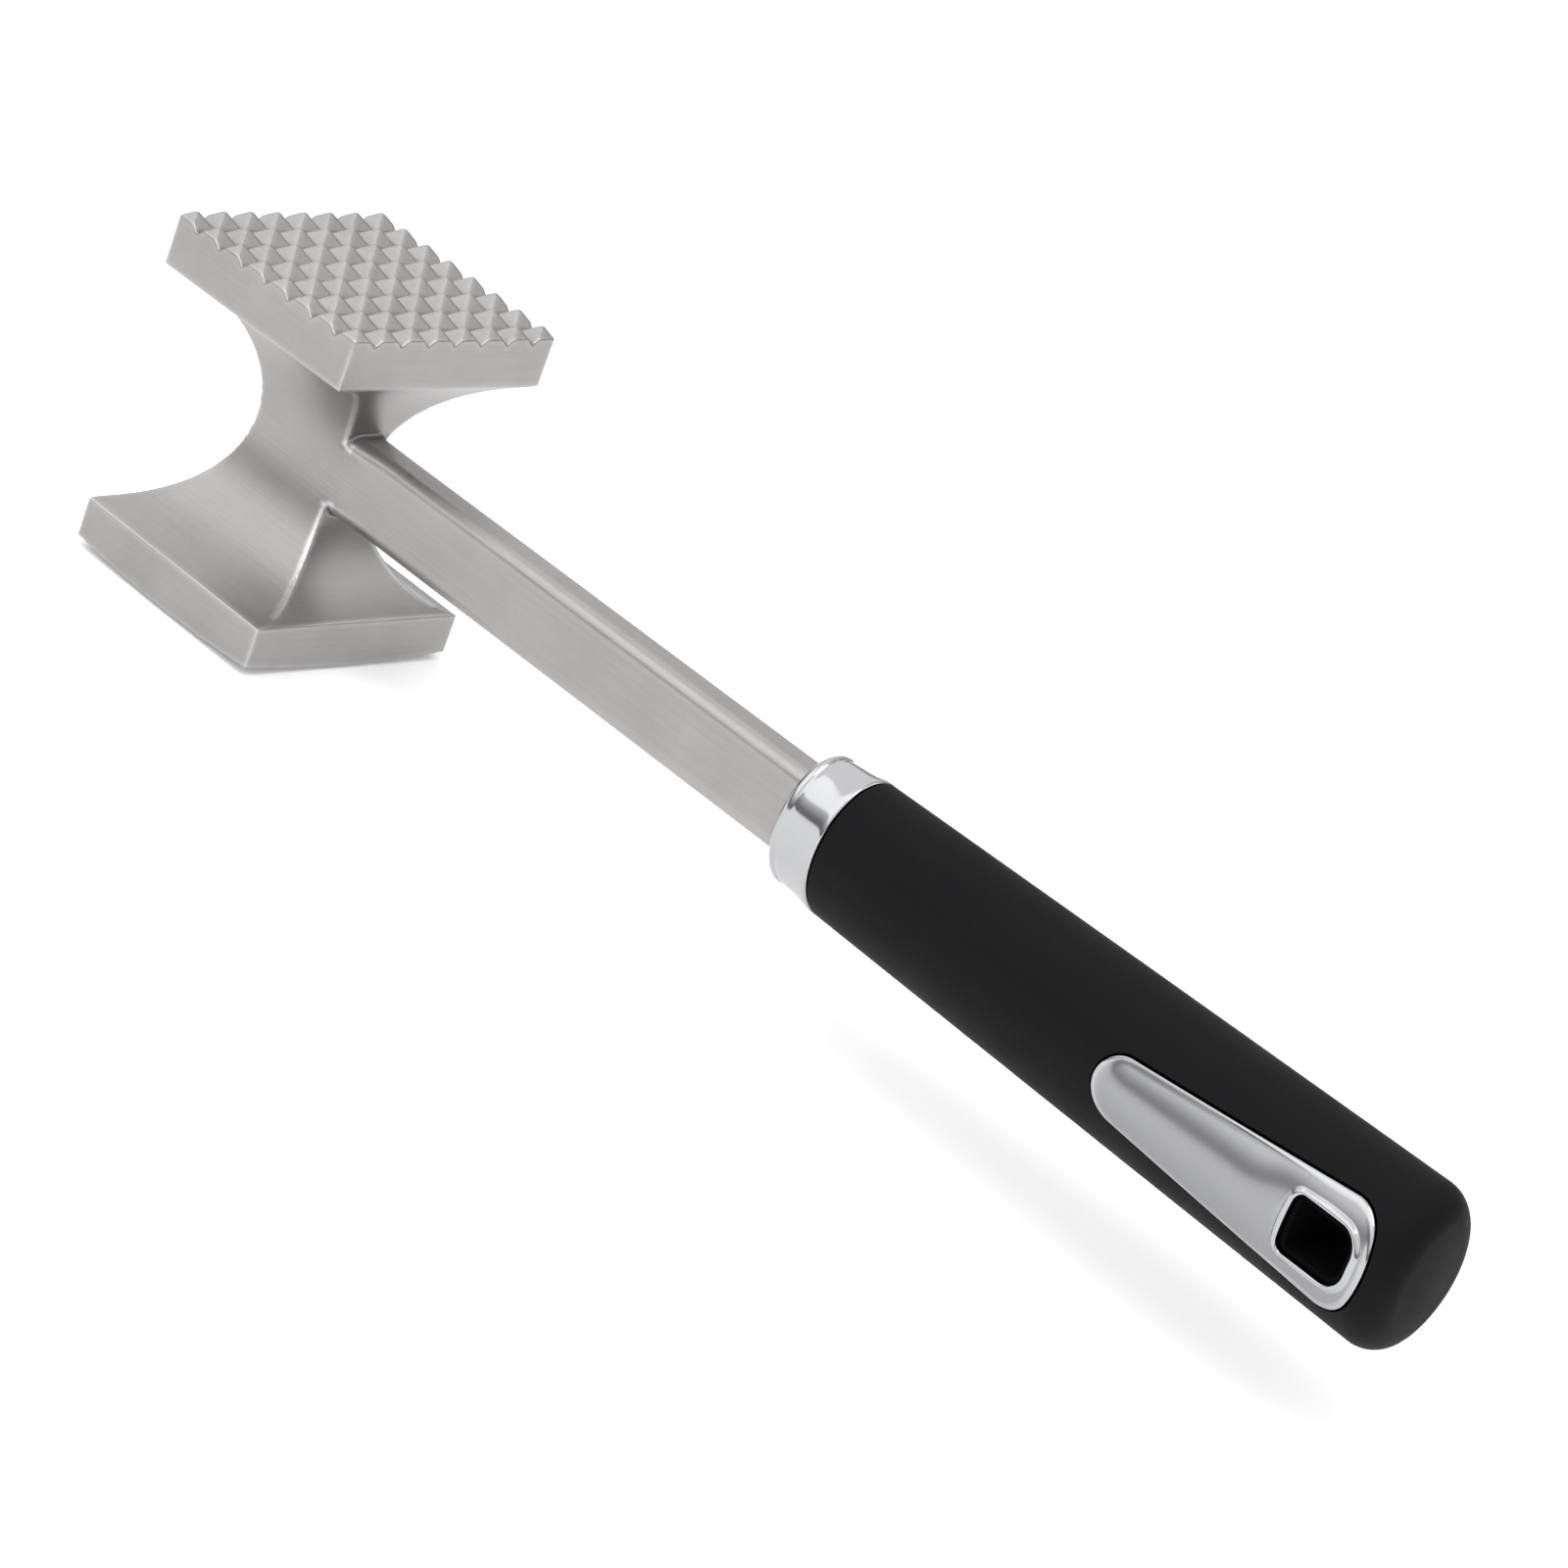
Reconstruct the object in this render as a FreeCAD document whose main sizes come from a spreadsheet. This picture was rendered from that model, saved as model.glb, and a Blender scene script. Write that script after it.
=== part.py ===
import FreeCAD
import Part
import Sketcher
import math
import os

# Meat mallet: a one-piece cast head with shank and tang, a plated ferrule, a rigid handle
# core, a soft grip over it and two plated eye plates round a hanging eye.
# Frame: +Z up, the smooth striking face on Z = 0 with the origin at its centre,
# +X along the handle from the head towards the handle's end.

doc = FreeCAD.newDocument("MeatMallet")

# ---- driving dimensions, millimetres ----
sizes = [
    ("toothPitch", 6.25),        # spacing of the tenderising teeth
    ("toothDepth", 2.7),
    ("toothTip", 0.5),           # flat left on each tooth's tip
    ("teethPerSide", 8),
    ("faceSide", 47.6),          # side of both square striking slabs
    ("headHeight", 65.2),        # smooth face to the tips of the teeth
    ("slabGap", 45.2),           # free height between the two slabs
    ("axisHeight", 31.8),        # handle axis above the smooth face
    ("waistLong", 22.0),         # narrowest part of the head along X
    ("waistShort", 8.1),         # and along Y, flush with the shank
    ("faceFlat", 20.0),          # across the flat round middle of the smooth face
    ("faceCrown", 165.0),        # radius to which the rest of the smooth face rises
    ("slabCorner", 0.6),         # rounding of the slabs' upright corners
    ("shankWidth", 8.0),
    ("shankHeight", 15.1),
    ("shankShoulder", 2.4),
    ("shankRoot", 5.0),          # fillet where the shank leaves the waist
    ("ferruleFront", 127.8),     # distance of the ferrule's front from the head's centre
    ("ferruleLength", 10.6),
    ("ferruleFrontHeight", 23.7),
    ("ferruleFrontWidth", 17.8),
    ("ferruleBackHeight", 25.1),
    ("ferruleBackWidth", 20.2),
    ("ferruleWeb", 1.5),         # the ferrule's closed front
    ("ferruleRound", 1.4),
    ("gripSeam", 0.4),           # groove between ferrule and grip
    ("gripFrontHeight", 24.9),
    ("gripFrontWidth", 19.8),
    ("gripMiddleHeight", 26.6),
    ("gripMiddleWidth", 21.2),
    ("gripMiddleInset", 76.3),   # handle's end to where the grip starts to swell
    ("gripEndHeight", 29.2),
    ("gripEndWidth", 23.0),
    ("handleEnd", 262.3),        # distance of the handle's end from the head's centre
    ("endRound", 5.5),
    ("endDome", 75.0),           # radius of the domed end
    ("sleeveWall", 2.6),
    ("bondGap", 0.1),            # bond line between bonded pieces
    ("shankClear", 0.2),         # round the shank in the ferrule's mouth
    ("tangClear", 0.2),
    ("tangWidth", 5.0),
    ("tangHeight", 10.4),
    ("tangLength", 66.0),
    ("noseHeight", 18.8),        # core's nose inside the ferrule
    ("noseWidth", 13.4),
    ("plateNoseInset", 54.8),    # handle's end to the centre of the eye plate's narrow nose
    ("plateNoseRadius", 5.5),
    ("plateCornerInset", 11.6),  # and to the centres of its two round corners
    ("plateCornerRadius", 6.2),
    ("plateEndRadius", 15.0),
    ("plateHeight", 18.6),
    ("plateProud", 0.25),        # the plate stands this far out of the grip
    ("plateGroove", 0.35),       # black groove round the plate
    ("eyeInset", 13.9),          # handle's end to the eye's centre
    ("eyeLength", 10.6),
    ("eyeHeight", 8.0),
    ("eyeSmallRound", 0.6),
    ("eyeLargeRound", 2.8),
    ("eyeCollar", 0.9),          # wall of the core's collar that lines the eye
    ("collarSink", 0.5),         # the collar ends this far inside the grip's outline
]
sheet = doc.addObject("Spreadsheet::Sheet", "Sizes")
for rowNumber, (alias, value) in enumerate(sizes, start=1):
    sheet.set("A%d" % rowNumber, alias)
    sheet.set("B%d" % rowNumber, str(value))
    sheet.setAlias("B%d" % rowNumber, alias)
doc.recompute()
size = dict(sizes)


def bind(thing, prop, formula):
    """Binds a property to a formula in which sheet aliases are written as $alias."""
    thing.setExpression(prop, formula.replace("$", "Sizes."))


# ---- sketch helpers ----
def originPlane(body, role):
    for feature in body.Origin.OriginFeatures:
        if feature.Role == role:
            return feature
    raise RuntimeError("no origin plane " + role)


def newBody(label):
    body = doc.addObject("PartDesign::Body", label)
    body.Label = label
    return body


def newSketch(body, name, role, offset="0"):
    sketch = body.newObject("Sketcher::SketchObject", name)
    sketch.AttachmentSupport = (originPlane(body, role), [""])
    sketch.MapMode = "FlatFace"
    bind(sketch, "AttachmentOffset.Base.z", offset + " * 1 mm")
    return sketch


def drawOutline(sketch, corners, arcs=None):
    """Draws a closed outline. corners: (x, y, formulaX, formulaY); arcs: {index: (mid point, formula)}
    makes the side that starts at that corner an arc of the given radius formula."""
    arcs = arcs or {}
    count = len(corners)
    sides = []
    for index, corner in enumerate(corners):
        start = FreeCAD.Vector(corner[0], corner[1], 0)
        following = corners[(index + 1) % count]
        end = FreeCAD.Vector(following[0], following[1], 0)
        if index in arcs:
            middle = FreeCAD.Vector(arcs[index][0][0], arcs[index][0][1], 0)
            curve = Part.Arc(start, middle, end)
        else:
            curve = Part.LineSegment(start, end)
        sides.append(sketch.addGeometry(curve, False))
    ends = []
    for index in range(count):
        start = FreeCAD.Vector(corners[index][0], corners[index][1], 0)
        point = 1 if (sketch.getPoint(sides[index], 1) - start).Length < 1e-6 else 2
        ends.append((sides[index], point, 3 - point))
    for index in range(count):
        this, following = ends[index], ends[(index + 1) % count]
        sketch.addConstraint(Sketcher.Constraint("Coincident", this[0], this[2], following[0], following[1]))
    for index, (x, y, formulaX, formulaY) in enumerate(corners):
        side, point, _ = ends[index]
        for kind, value, formula in (("DistanceX", x, formulaX), ("DistanceY", y, formulaY)):
            number = sketch.addConstraint(Sketcher.Constraint(kind, -1, 1, side, point, value))
            bind(sketch, "Constraints[%d]" % number, "(" + formula + ") * 1 mm")
    for index, (_, formula) in arcs.items():
        radius = sketch.Geometry[sides[index]].Radius
        number = sketch.addConstraint(Sketcher.Constraint("Radius", sides[index], radius))
        bind(sketch, "Constraints[%d]" % number, "(" + formula + ") * 1 mm")


def padOrPocket(body, kind, name, sketch, formula, midplane):
    feature = body.newObject("PartDesign::" + kind, name)
    feature.Profile = sketch
    if midplane:
        feature.SideType = "Symmetric"
    bind(feature, "Length", "(" + formula + ") * 1 mm")
    return feature


def roundedCorners(wide, high, formulaWide, formulaHigh, radii, radiusFormulas, at=(0, 0), formulaAt=("0", "0")):
    """Corners and arcs of a rectangle about a point: its right corners take the second radius."""
    corners = []
    arcs = {}
    diagonal = 1 - math.sqrt(0.5)
    turns = [(1, -1, True), (1, 1, False), (-1, 1, True), (-1, -1, False)]
    for signX, signY, firstAlongX in turns:
        radius = radii[1 if signX > 0 else 0]
        text = radiusFormulas[1 if signX > 0 else 0]
        edgeX, edgeY = at[0] + signX * wide / 2, at[1] + signY * high / 2
        textX = "%s + (%d) * (%s) / 2" % (formulaAt[0], signX, formulaWide)
        textY = "%s + (%d) * (%s) / 2" % (formulaAt[1], signY, formulaHigh)
        before = (edgeX - signX * radius, edgeY, "%s - (%d) * (%s)" % (textX, signX, text), textY)
        after = (edgeX, edgeY - signY * radius, textX, "%s - (%d) * (%s)" % (textY, signY, text))
        if not firstAlongX:
            before, after = after, before
        middle = (edgeX - signX * radius * diagonal, edgeY - signY * radius * diagonal)
        arcs[len(corners)] = (middle, text)
        corners += [before, after]
    return corners, arcs


# ---- mallet head: slabs, waist, shank and tang in one casting ----
halfSide = "$faceSide / 2"
lowSlab = "$axisHeight - $slabGap / 2"
highSlab = "$axisHeight + $slabGap / 2"


def waistRadius(waist):
    depth = "(($faceSide - %s) / 2)" % waist
    return "(($slabGap / 2)^2 + %s^2) / (2 * %s)" % (depth, depth)


def headProfile(sketch):
    side, waist = size["faceSide"] / 2, size["waistLong"] / 2
    low = size["axisHeight"] - size["slabGap"] / 2
    high = size["axisHeight"] + size["slabGap"] / 2
    right = [(side, 0, halfSide, "0"), (side, low, halfSide, lowSlab), (side, high, halfSide, highSlab),
             (side, size["headHeight"], halfSide, "$headHeight")]
    left = [(-x, y, "-(" + textX + ")", textY) for x, y, textX, textY in reversed(right)]
    arcs = {1: ((waist, size["axisHeight"]), waistRadius("$waistLong")),
            5: ((-waist, size["axisHeight"]), waistRadius("$waistLong"))}
    drawOutline(sketch, right + left, arcs)


def waistCut(sketch, sign):
    """The hollow beside the waist, on one side along Y."""
    side, out = sign * size["faceSide"] / 2, sign * size["faceSide"]
    low = size["axisHeight"] - size["slabGap"] / 2
    high = size["axisHeight"] + size["slabGap"] / 2
    textSide, textOut = "(%d) * $faceSide / 2" % sign, "(%d) * $faceSide" % sign
    corners = [(side, low, textSide, lowSlab), (side, high, textSide, highSlab),
               (out, high, textOut, highSlab), (out, low, textOut, lowSlab)]
    middle = (sign * size["waistShort"] / 2, size["axisHeight"])
    drawOutline(sketch, corners, {0: (middle, waistRadius("$waistShort"))})


def crownRise(run):
    """Height of the crowned smooth face at a run out from its flat middle."""
    return size["faceCrown"] - math.sqrt(size["faceCrown"] ** 2 - run ** 2)


def crownCut(sketch):
    """What the crowned smooth face loses, as a section that turns about the head's axis."""
    flat, reach = size["faceFlat"] / 2, size["faceSide"]
    textFlat = "$faceFlat / 2"
    textRise = "$faceCrown - sqrt($faceCrown^2 - ($faceSide - $faceFlat / 2)^2)"
    corners = [(flat, 0, textFlat, "0"), (reach, crownRise(reach - flat), "$faceSide", textRise),
               (reach, -flat, "$faceSide", "-$faceFlat / 2"), (flat, -flat, textFlat, "-$faceFlat / 2")]
    half = (reach - flat) / 2
    drawOutline(sketch, corners, {0: ((flat + half, crownRise(half)), "$faceCrown")})


def toothGroove(sketch):
    """The V between two rows of teeth, centred on the outer edge of the field of teeth."""
    half = (size["toothPitch"] - size["toothTip"]) / 2
    edge = -size["teethPerSide"] * size["toothPitch"] / 2
    top, root = size["headHeight"], size["headHeight"] - size["toothDepth"]
    textEdge = "-$teethPerSide * $toothPitch / 2"
    textLeft = textEdge + " - ($toothPitch - $toothTip) / 2"
    textRight = textEdge + " + ($toothPitch - $toothTip) / 2"
    above, textAbove = top + size["toothDepth"], "$headHeight + $toothDepth"
    drawOutline(sketch, [(edge - half, top, textLeft, "$headHeight"),
                         (edge, root, textEdge, "$headHeight - $toothDepth"),
                         (edge + half, top, textRight, "$headHeight"),
                         (edge + half, above, textRight, textAbove), (edge - half, above, textLeft, textAbove)])


def shankProfile(sketch):
    """Side view of the shank: straight bars that flare into the waist with the root fillet."""
    half, root = size["shankHeight"] / 2, size["shankRoot"]
    axis, waist = size["axisHeight"], size["waistLong"] / 2
    end = size["ferruleFront"] + size["ferruleWeb"]
    textEnd = "$ferruleFront + $ferruleWeb"
    bend = root * (1 - math.sqrt(0.5))
    upper = [(end, axis + half, textEnd, "$axisHeight + $shankHeight / 2"),
             (waist + root, axis + half, "$waistLong / 2 + $shankRoot", "$axisHeight + $shankHeight / 2"),
             (waist, axis + half + root, "$waistLong / 2", "$axisHeight + $shankHeight / 2 + $shankRoot"),
             (0, axis + half + root, "0", "$axisHeight + $shankHeight / 2 + $shankRoot")]
    lower = [(x, 2 * axis - y, textX, "2 * $axisHeight - (" + textY + ")") for x, y, textX, textY in reversed(upper)]
    arcs = {1: ((waist + bend, axis + half + bend), "$shankRoot"),
            5: ((waist + bend, axis - half - bend), "$shankRoot")}
    drawOutline(sketch, upper + lower, arcs)


def edgesWhere(shape, test):
    return ["Edge%d" % number for number, edge in enumerate(shape.Edges, start=1) if test(edge)]


def middleOf(edge):
    first, last = edge.ParameterRange
    return edge.valueAt((first + last) / 2)


def isShankCorner(edge):
    """The four long edges of the shank, with their curved flares."""
    box = edge.BoundBox
    return box.YLength < 0.01 and box.XLength > 1 and middleOf(edge).x > size["waistLong"] / 2


def isSlabCorner(edge):
    middle = middleOf(edge)
    upright = edge.BoundBox.XLength < 0.01 and edge.BoundBox.YLength < 0.01
    nearCorner = min(abs(middle.x), abs(middle.y)) > size["faceSide"] / 2 - 0.01
    return upright and nearCorner


def makeHead():
    body = newBody("mallet_head")
    shankSketch = newSketch(body, "ShankSide", "XZ_Plane")
    shankProfile(shankSketch)
    shank = padOrPocket(body, "Pad", "Shank", shankSketch, "$shankWidth", True)
    doc.recompute()
    shoulders = body.newObject("PartDesign::Fillet", "ShankShoulders")
    shoulders.Base = (shank, edgesWhere(shank.Shape, isShankCorner))
    bind(shoulders, "Radius", "$shankShoulder * 1 mm")
    doc.recompute()

    blockSketch = newSketch(body, "HeadSide", "XZ_Plane")
    headProfile(blockSketch)
    block = padOrPocket(body, "Pad", "HeadBlock", blockSketch, "$faceSide", True)
    hollowSketch = newSketch(body, "WaistHollows", "YZ_Plane")
    for sign in (1, -1):
        waistCut(hollowSketch, sign)
    hollows = padOrPocket(body, "Pocket", "Waist", hollowSketch, "$faceSide * 1.2", True)
    doc.recompute()
    crownSketch = newSketch(body, "Crown", "XZ_Plane")
    crownCut(crownSketch)
    crown = body.newObject("PartDesign::Groove", "CrownedFace")
    crown.Profile = crownSketch
    crown.ReferenceAxis = (crownSketch, ["V_Axis"])
    crown.Angle = 360
    doc.recompute()
    if crown.Shape.Volume >= hollows.Shape.Volume:
        raise RuntimeError("the crown cut nothing")
    corners = body.newObject("PartDesign::Fillet", "SlabCorners")
    corners.Base = (crown, edgesWhere(crown.Shape, isSlabCorner))
    bind(corners, "Radius", "$slabCorner * 1 mm")
    doc.recompute()

    tangSketch = newSketch(body, "TangEnd", "YZ_Plane", "($ferruleFront + $ferruleWeb)")
    half = (size["tangWidth"] / 2, size["tangHeight"] / 2)
    signs = [(1, -1), (1, 1), (-1, 1), (-1, -1)]
    drawOutline(tangSketch, [(y * half[0], size["axisHeight"] + z * half[1],
                              "(%d) * $tangWidth / 2" % y, "$axisHeight + (%d) * $tangHeight / 2" % z)
                             for y, z in signs])
    tang = padOrPocket(body, "Pad", "Tang", tangSketch, "$tangLength", False)
    doc.recompute()

    for plane in ("XZ_Plane", "YZ_Plane"):
        grooveSketch = newSketch(body, "Groove" + plane[:2], plane)
        toothGroove(grooveSketch)
        groove = padOrPocket(body, "Pocket", "ToothGroove" + plane[:2], grooveSketch, "$faceSide * 1.2", True)
        doc.recompute()
        pattern = body.newObject("PartDesign::LinearPattern", "ToothGrooves" + plane[:2])
        pattern.Originals = [groove]
        pattern.Direction = (grooveSketch, ["H_Axis"])
        bind(pattern, "Length", "$teethPerSide * $toothPitch * 1 mm")
        bind(pattern, "Occurrences", "$teethPerSide + 1")
        body.Tip = pattern
        doc.recompute()
    return body


# ---- handle pieces: ovals across the handle, lofted along it ----
gripFront = "$ferruleFront + $ferruleLength + $gripSeam"
alongX = FreeCAD.Rotation(FreeCAD.Vector(0, 0, 1), FreeCAD.Vector(0, 1, 0), FreeCAD.Vector(-1, 0, 0), "XYZ")


def oval(name, at, height, width):
    """An upright ellipse across the handle, its height along Z and its width along Y."""
    ellipse = doc.addObject("Part::Ellipse", name)
    ellipse.Placement = FreeCAD.Placement(FreeCAD.Vector(0, 0, 0), alongX)
    bind(ellipse, "MajorRadius", "(" + height + ") / 2 * 1 mm")
    bind(ellipse, "MinorRadius", "(" + width + ") / 2 * 1 mm")
    bind(ellipse, "Placement.Base.x", "(" + at + ") * 1 mm")
    bind(ellipse, "Placement.Base.z", "$axisHeight * 1 mm")
    return ellipse


def loft(name, sections):
    """sections: (place along X, height, width) formulas."""
    body = doc.addObject("Part::Loft", name)
    body.Sections = [oval(name + "Oval%d" % number, *section) for number, section in enumerate(sections)]
    body.Solid = True
    body.Ruled = False
    return body


def handleLoft(name, grow):
    """The handle's outer shape, grown on every side by a formula."""
    stations = [(gripFront, "$gripFrontHeight", "$gripFrontWidth"),
                ("$handleEnd - $gripMiddleInset", "$gripMiddleHeight", "$gripMiddleWidth"),
                ("$handleEnd", "$gripEndHeight", "$gripEndWidth")]
    return loft(name, [(at, "%s + 2 * (%s)" % (height, grow), "%s + 2 * (%s)" % (width, grow))
                       for at, height, width in stations])


def boolean(kind, name, base, tool):
    result = doc.addObject("Part::" + kind, name)
    result.Base = base
    result.Tool = tool
    return result


def slab(name, start, end):
    """A block across the whole handle between two places along X."""
    block = doc.addObject("Part::Box", name)
    bind(block, "Length", "(%s - (%s)) * 1 mm" % (end, start))
    bind(block, "Width", "$faceSide * 1 mm")
    bind(block, "Height", "$faceSide * 1 mm")
    bind(block, "Placement.Base.x", "(%s) * 1 mm" % start)
    bind(block, "Placement.Base.y", "-$faceSide / 2 * 1 mm")
    bind(block, "Placement.Base.z", "($axisHeight - $faceSide / 2) * 1 mm")
    return block


def edgeFillet(name, base, test, radiusName):
    doc.recompute()
    fillet = doc.addObject("Part::Fillet", name)
    fillet.Base = base
    radius = size[radiusName]
    fillet.Edges = [(number, radius, radius) for number, edge in enumerate(base.Shape.Edges, start=1) if test(edge)]
    return fillet


def shankSleeve(name, clearance, start, end):
    """A prism along X with the shank's section grown by a clearance."""
    sketch = doc.addObject("Sketcher::SketchObject", name + "Section")
    sketch.Placement = FreeCAD.Placement(FreeCAD.Vector(0, 0, 0), FreeCAD.Rotation(
        FreeCAD.Vector(0, 1, 0), FreeCAD.Vector(0, 0, 1), FreeCAD.Vector(1, 0, 0), "ZXY"))
    grown = 2 * size[clearance]
    textGrown = "2 * $" + clearance
    corners, arcs = roundedCorners(
        size["shankWidth"] + grown, size["shankHeight"] + grown, "$shankWidth + " + textGrown,
        "$shankHeight + " + textGrown, (size["shankShoulder"],) * 2, ("$shankShoulder",) * 2)
    drawOutline(sketch, corners, arcs)
    bind(sketch, "Placement.Base.x", "(%s) * 1 mm" % start)
    bind(sketch, "Placement.Base.z", "$axisHeight * 1 mm")
    return prism(name, sketch, FreeCAD.Vector(1, 0, 0), "%s - (%s)" % (end, start), "0")


def prism(name, sketch, direction, forward, backward):
    body = doc.addObject("Part::Extrusion", name)
    body.Base = sketch
    body.DirMode = "Custom"
    body.Dir = direction
    body.Solid = True
    bind(body, "LengthFwd", "(%s) * 1 mm" % forward)
    bind(body, "LengthRev", "(%s) * 1 mm" % backward)
    return body


def makeFerrule():
    back = "$ferruleFront + $ferruleLength"
    outer = loft("FerruleOuter", [("$ferruleFront", "$ferruleFrontHeight", "$ferruleFrontWidth"),
                                  (back, "$ferruleBackHeight", "$ferruleBackWidth")])

    def isFrontRim(edge):
        return edge.BoundBox.XLength < 0.01 and abs(edge.BoundBox.XMin - size["ferruleFront"]) < 0.01

    rounded = edgeFillet("FerruleRounded", outer, isFrontRim, "ferruleRound")
    bore = loft("FerruleBore", [("$ferruleFront + $ferruleWeb", "$noseHeight", "$noseWidth"),
                                (back + " + 1", "$noseHeight", "$noseWidth")])
    bored = boolean("Cut", "FerruleBored", rounded, bore)
    mouth = shankSleeve("FerruleMouth", "shankClear", "$ferruleFront - 1", "$ferruleFront + $ferruleWeb + 1")
    ferrule = boolean("Cut", "ferrule", bored, mouth)
    ferrule.Label = "ferrule"
    return ferrule


def eyePrism(name, grown=()):
    """The hanging eye's outline, grown by the named sizes, pushed through the whole handle."""
    sketch = uprightSketch(name + "Outline")
    extra = sum(size[part] for part in grown)
    text = "".join(" + $" + part for part in grown)
    corners, arcs = roundedCorners(
        size["eyeLength"] + 2 * extra, size["eyeHeight"] + 2 * extra,
        "$eyeLength + 2 * (0%s)" % text, "$eyeHeight + 2 * (0%s)" % text,
        (size["eyeSmallRound"] + extra, size["eyeLargeRound"] + extra),
        ("$eyeSmallRound" + text, "$eyeLargeRound" + text),
        (size["handleEnd"] - size["eyeInset"], 0), ("$handleEnd - $eyeInset", "0"))
    drawOutline(sketch, corners, arcs)
    return prism(name, sketch, FreeCAD.Vector(0, 1, 0), "$faceSide / 2", "$faceSide / 2")


def uprightSketch(name):
    """A sketch in the XZ plane at the height of the handle's axis."""
    sketch = doc.addObject("Sketcher::SketchObject", name)
    sketch.Placement = FreeCAD.Placement(FreeCAD.Vector(0, 0, 0), FreeCAD.Rotation(FreeCAD.Vector(1, 0, 0), 90))
    bind(sketch, "Placement.Base.z", "$axisHeight * 1 mm")
    return sketch


def platePrism(name, grow, forward, backward):
    """The eye plate's outline, grown by a clearance: a narrow round nose, straight flanks and a
    wide end with two round corners and a gentle bulge, every join tangent."""
    extra = size[grow] if grow else 0
    text = "+ $" + grow if grow else ""
    noseRadius, cornerRadius = size["plateNoseRadius"] + extra, size["plateCornerRadius"] + extra
    endRadius = size["plateEndRadius"] + extra
    nose = FreeCAD.Vector(size["handleEnd"] - size["plateNoseInset"], 0, 0)
    rise = size["plateHeight"] / 2 - size["plateCornerRadius"]
    corner = FreeCAD.Vector(size["handleEnd"] - size["plateCornerInset"], rise, 0)
    endCentre = FreeCAD.Vector(corner.x - math.sqrt((endRadius - cornerRadius) ** 2 - rise ** 2), 0, 0)
    span = corner - nose
    lean = math.atan2(span.y, span.x) + math.acos((noseRadius - cornerRadius) / span.Length)
    side = FreeCAD.Vector(math.cos(lean), math.sin(lean), 0)
    outward = (corner - endCentre).normalize()
    noseTop, cornerTop = nose + side * noseRadius, corner + side * cornerRadius
    cornerEnd = corner + outward * cornerRadius
    cornerMiddle = corner + (side + outward).normalize() * cornerRadius

    def below(point):
        return FreeCAD.Vector(point.x, -point.y, 0)

    sketch = uprightSketch(name + "Outline")
    noseTip = nose - FreeCAD.Vector(noseRadius, 0, 0)
    endTip = endCentre + FreeCAD.Vector(endRadius, 0, 0)
    pieces = [(noseTop, noseTip, below(noseTop)), (below(noseTop), None, below(cornerTop)),
              (below(cornerTop), below(cornerMiddle), below(cornerEnd)), (below(cornerEnd), endTip, cornerEnd),
              (cornerEnd, cornerMiddle, cornerTop), (cornerTop, None, noseTop)]
    for start, middle, end in pieces:
        curve = Part.Arc(start, middle, end) if middle else Part.LineSegment(start, end)
        sketch.addGeometry(curve, False)
    for index in range(len(pieces)):
        sketch.addConstraint(Sketcher.Constraint("Tangent", index, 2, (index + 1) % len(pieces), 1))
    textNose, textCorner = "$handleEnd - $plateNoseInset", "$handleEnd - $plateCornerInset"
    textRise = "($plateHeight / 2 - $plateCornerRadius)"
    rounds = [(0, nose, noseRadius, (textNose, "0", "$plateNoseRadius")),
              (2, below(corner), cornerRadius, (textCorner, "-" + textRise, "$plateCornerRadius")),
              (4, corner, cornerRadius, (textCorner, textRise, "$plateCornerRadius"))]
    for index, centre, radius, texts in rounds:
        for kind, value, formula in (("DistanceX", centre.x, texts[0]), ("DistanceY", centre.y, texts[1])):
            number = sketch.addConstraint(Sketcher.Constraint(kind, -1, 1, index, 3, value))
            bind(sketch, "Constraints[%d]" % number, "(" + formula + ") * 1 mm")
        number = sketch.addConstraint(Sketcher.Constraint("Radius", index, radius))
        bind(sketch, "Constraints[%d]" % number, "(%s %s) * 1 mm" % (texts[2], text))
    number = sketch.addConstraint(Sketcher.Constraint("Radius", 3, endRadius))
    bind(sketch, "Constraints[%d]" % number, "($plateEndRadius %s) * 1 mm" % text)
    return prism(name, sketch, FreeCAD.Vector(0, 1, 0), forward, backward)


def makeOuter():
    """The finished outside of the grip: domed and rounded at the handle's end."""
    raw = handleLoft("GripLoft", "0")
    dome = doc.addObject("Part::Sphere", "EndDome")
    bind(dome, "Radius", "$endDome * 1 mm")
    bind(dome, "Placement.Base.x", "($handleEnd - $endDome) * 1 mm")
    bind(dome, "Placement.Base.z", "$axisHeight * 1 mm")
    tool = boolean("Fuse", "DomeTool", dome, slab("DomeBody", gripFront + " - 1", "$handleEnd - $endDome / 2"))
    domed = boolean("Common", "GripDomed", raw, tool)
    nearEnd = size["handleEnd"] - size["endRound"]
    return edgeFillet("GripOutside", domed, lambda edge: edge.BoundBox.XMin > nearEnd, "endRound")


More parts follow.
